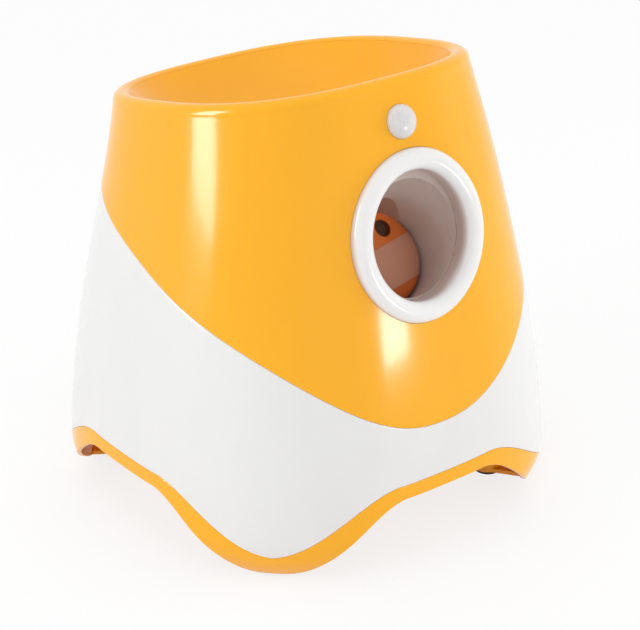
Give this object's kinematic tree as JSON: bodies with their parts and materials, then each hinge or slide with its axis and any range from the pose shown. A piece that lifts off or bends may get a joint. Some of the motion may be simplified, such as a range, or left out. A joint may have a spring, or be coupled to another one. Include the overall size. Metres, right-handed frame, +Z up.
{
  "type": "dog ball launcher",
  "caption": "Domed ball launcher for a dog: a bowl on top feeds balls to a sprung striker that shoots them out of a round tilted mouth at the front.",
  "frame": {"origin": "on the floor, below the middle of the body", "axes": "+Z up, the mouth faces -Y, +X to the right of someone looking along +Y"},
  "size_m": [0.2734, 0.2734, 0.278],
  "materials": {
    "orange_shell": "glossy moulded ABS",
    "white_shell": "glossy moulded ABS",
    "orange_striker": "moulded ABS with a satin face",
    "pale_strap": "dull moulded strap",
    "grey_liner": "satin grey-brown moulding",
    "grey_panel": "satin light grey",
    "dark_plastic": "matt moulded",
    "white_gear": "natural acetal",
    "frosted_lens": "frosted, translucent white",
    "light_pipe": "translucent pale green",
    "circuit_board": "solder mask",
    "cell_wrap": "plain lacquered can",
    "rubber": "matt",
    "steel": "zinc plated",
    "spring_steel": "bright drawn wire",
    "brass": "turned"
  },
  "bodies": {
    "housing": {"top_shell": "orange_shell", "main_housing": "white_shell", "base_tray": "orange_shell", "foot_pads": "rubber", "housing_screws": "steel", "hopper_bowl": "orange_shell", "mouth_ring": "white_shell", "ring_screws": "steel", "launch_barrel": "grey_liner", "spring_seat": "dark_plastic", "seat_screws": "steel", "main_spring": "spring_steel", "gearbox_left": "dark_plastic", "gearbox_right": "dark_plastic", "gearbox_spacers": "steel", "gearbox_screws": "steel", "gearbox_feet_screws": "steel", "drive_axle": "steel", "second_axle": "steel", "first_axle": "steel", "motor": "steel", "motor_screws": "steel", "lever_pin": "steel", "lever_switch": "dark_plastic", "stroke_switch": "dark_plastic", "sensor_lens": "frosted_lens", "sensor_board": "circuit_board", "control_panel": "grey_panel", "range_lights": "light_pipe", "panel_board": "circuit_board", "panel_screws": "steel", "power_inlet": "dark_plastic", "main_board": "circuit_board", "board_screws": "steel", "speaker": "dark_plastic", "battery_cells": "cell_wrap", "battery_contacts": "spring_steel", "battery_door": "orange_shell", "door_screw": "steel"},
    "striker": {"striker_head": "orange_striker", "striker_strap": "pale_strap", "plunger_rod": "white_gear", "plunger_screw": "steel"},
    "drive_gear": {"drive_gear": "white_gear"},
    "second_gear": {"second_gear": "white_gear"},
    "first_gear": {"first_gear": "white_gear"},
    "rotor": {"motor_shaft": "steel", "motor_pinion": "brass"},
    "ball_lever": {"ball_lever": "dark_plastic"},
    "power_button": {"power_button": "orange_shell"},
    "distance_button": {"distance_button": "white_shell"}
  },
  "joints": [
    {"name": "drive_gear_turn", "type": "hinge", "parent": "housing", "child": "drive_gear", "pos_m": [0, 0.04115, 0.11333], "axis": [1, 0, 0], "range_deg": [0, 200]},
    {"name": "striker_slide", "type": "slide", "parent": "housing", "child": "striker", "axis": [0, 0.8192, -0.5736], "range_m": [0, 0.0628], "deforming": ["main_spring"]},
    {"name": "second_gear_turn", "type": "hinge", "parent": "housing", "child": "second_gear", "pos_m": [0, 0.05415, 0.13585], "axis": [1, 0, 0], "range_deg": [-666.7, 0]},
    {"name": "first_gear_turn", "type": "hinge", "parent": "housing", "child": "first_gear", "pos_m": [0, 0.05054, 0.15633], "axis": [1, 0, 0], "range_deg": [0, 2222.3]},
    {"name": "motor_turn", "type": "hinge", "parent": "housing", "child": "rotor", "pos_m": [0, 0.06586, 0.16919], "axis": [1, 0, 0], "range_deg": [-8889, 0]},
    {"name": "ball_lever_swing", "type": "hinge", "parent": "housing", "child": "ball_lever", "pos_m": [0, -0.0082, 0.192], "axis": [1, 0, 0], "range_deg": [0, 18], "stiffness_Nm_per_rad": 0.004, "springref_deg": -5.73},
    {"name": "power_button_press", "type": "slide", "parent": "housing", "child": "power_button", "axis": [0, -0.9822, -0.1881], "range_m": [0, 0.0012], "stiffness_N_per_m": 600, "springref_m": -0.0004},
    {"name": "distance_button_press", "type": "slide", "parent": "housing", "child": "distance_button", "axis": [0, -0.9822, -0.1881], "range_m": [0, 0.0012], "stiffness_N_per_m": 600, "springref_m": -0.0004}
  ],
  "couplings": [
    {"joint": "drive_gear_turn", "follows": "striker_slide", "rad_per_m": 55.556},
    {"joint": "second_gear_turn", "follows": "striker_slide", "rad_per_m": -185.19},
    {"joint": "first_gear_turn", "follows": "striker_slide", "rad_per_m": 617.28},
    {"joint": "motor_turn", "follows": "striker_slide", "rad_per_m": -2469.1}
  ]
}
